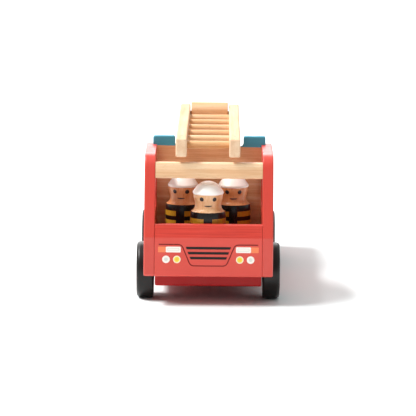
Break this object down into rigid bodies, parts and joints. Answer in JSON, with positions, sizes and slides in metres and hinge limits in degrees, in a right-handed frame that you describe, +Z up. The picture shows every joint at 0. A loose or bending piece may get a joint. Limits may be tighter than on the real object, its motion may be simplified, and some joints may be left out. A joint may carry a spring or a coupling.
{
  "type": "toy fire engine",
  "caption": "Painted wooden toy fire engine with an open cab holding peg firemen, rolling wheels, and a hinged ladder on a small turntable that rests in a notch of the cab's back wall.",
  "frame": {"origin": "middle of the footprint, on the floor under the wheels", "axes": "+Z up, -Y to the front of the engine, +X to the engine's own left"},
  "size_m": [0.1048, 0.285, 0.1232],
  "materials": {
    "red_paint": "satin red paint on wood",
    "dark_red_paint": "satin darker red paint on wood",
    "beech": "clear satin varnish on light wood",
    "black_paint": "satin black paint on wood",
    "figure_paint": "satin paint on a turned wooden figure: black coat, light hat, bare wood face",
    "brad_steel": "dull steel"
  },
  "bodies": {
    "truck_body": {"side_panel_left": "red_paint", "side_panel_right": "red_paint", "front_panel": "red_paint", "chassis_board": "dark_red_paint", "windscreen_header": "beech", "cab_back_wall": "beech", "seat_board": "beech", "box_front_wall": "beech", "rear_deck": "beech", "rear_panel": "red_paint", "front_panel_dowels": "beech", "header_dowels": "beech", "chassis_dowels": "beech", "box_wall_dowels": "beech", "deck_dowels": "beech", "rear_panel_dowels": "beech"},
    "front_axle_set": {"front_axle": "beech", "front_wheel_left": "black_paint", "front_wheel_right": "black_paint"},
    "rear_axle_set": {"rear_axle": "beech", "rear_wheel_left": "black_paint", "rear_wheel_right": "black_paint"},
    "turntable_set": {"turntable": "beech", "turntable_spindle": "beech", "spindle_retainer": "beech", "ladder_post": "beech", "post_dowels": "beech"},
    "ladder": {"ladder_rail_left": "beech", "ladder_rail_right": "beech", "ladder_rung_1": "beech", "ladder_rung_2": "beech", "ladder_rung_3": "beech", "ladder_rung_4": "beech", "ladder_rung_5": "beech", "ladder_rung_6": "beech", "rail_brads": "brad_steel", "ladder_pivot_pin": "beech"},
    "front_figure": {"fireman_front": "figure_paint"},
    "rear_left_figure": {"fireman_rear_left": "figure_paint"},
    "rear_right_figure": {"fireman_rear_right": "figure_paint"}
  },
  "joints": [
    {"name": "front_axle_spin", "type": "hinge", "parent": "truck_body", "child": "front_axle_set", "pos_m": [0, -0.1045, 0.0206], "axis": [1, 0, 0], "continuous": true},
    {"name": "rear_axle_spin", "type": "hinge", "parent": "truck_body", "child": "rear_axle_set", "pos_m": [0, 0.0605, 0.0206], "axis": [1, 0, 0], "continuous": true},
    {"name": "turntable_swivel", "type": "hinge", "parent": "truck_body", "child": "turntable_set", "pos_m": [0, 0.0925, 0.0826], "axis": [0, 0, 1], "range_deg": [-0.3, 0.8]},
    {"name": "ladder_lift", "type": "hinge", "parent": "turntable_set", "child": "ladder", "pos_m": [0, 0.0925, 0.11317], "axis": [-1, 0.0044, 0], "range_deg": [0, 80]},
    {"name": "front_figure_lift", "type": "slide", "parent": "truck_body", "child": "front_figure", "axis": [0, 0, 1], "range_m": [0, 0.0025]},
    {"name": "rear_left_figure_lift", "type": "slide", "parent": "truck_body", "child": "rear_left_figure", "axis": [0, 0, 1], "range_m": [0, 0.015]},
    {"name": "rear_right_figure_lift", "type": "slide", "parent": "truck_body", "child": "rear_right_figure", "axis": [0, 0, 1], "range_m": [0, 0.015]}
  ]
}
